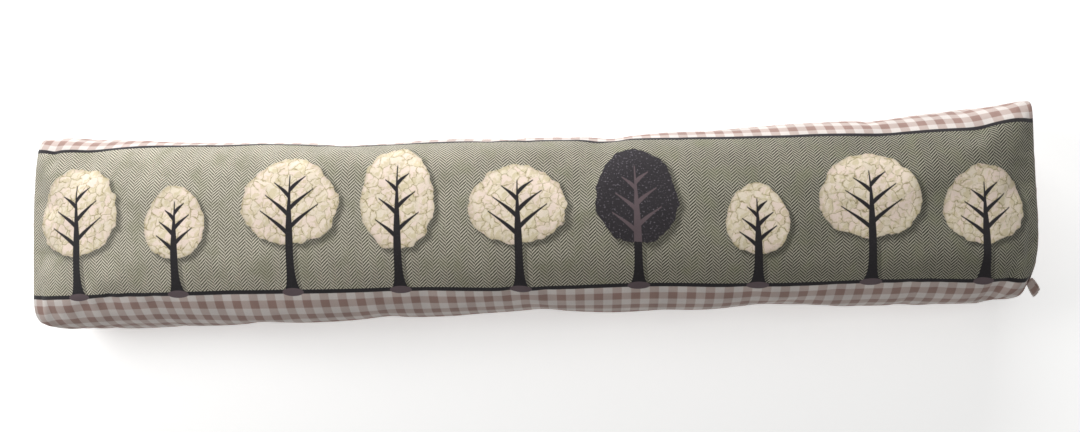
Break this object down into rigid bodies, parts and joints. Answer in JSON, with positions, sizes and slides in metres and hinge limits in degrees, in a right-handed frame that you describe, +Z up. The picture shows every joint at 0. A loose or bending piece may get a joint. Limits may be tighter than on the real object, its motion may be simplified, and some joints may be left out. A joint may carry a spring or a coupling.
{
  "type": "draught excluder",
  "caption": "Long stuffed fabric draught excluder cushion with a printed herringbone face, gingham borders and boxed ends, lying flat to be pushed against the foot of a door.",
  "frame": {"origin": "middle of the bounding box at floor level, under the cushion as it lies on its back", "axes": "+X along the cushion to the end with the folded seam corner, +Y across it to the side away from the viewer, +Z up out of the printed face"},
  "size_m": [0.8998, 0.177, 0.1],
  "materials": {
    "printed_cloth": "matte printed cotton",
    "check_cloth": "matte printed cotton check"
  },
  "bodies": {
    "root": {"cushion_body": "printed_cloth", "end_panel_left": "check_cloth", "end_panel_right": "check_cloth", "corner_ear": "check_cloth"}
  },
  "joints": []
}
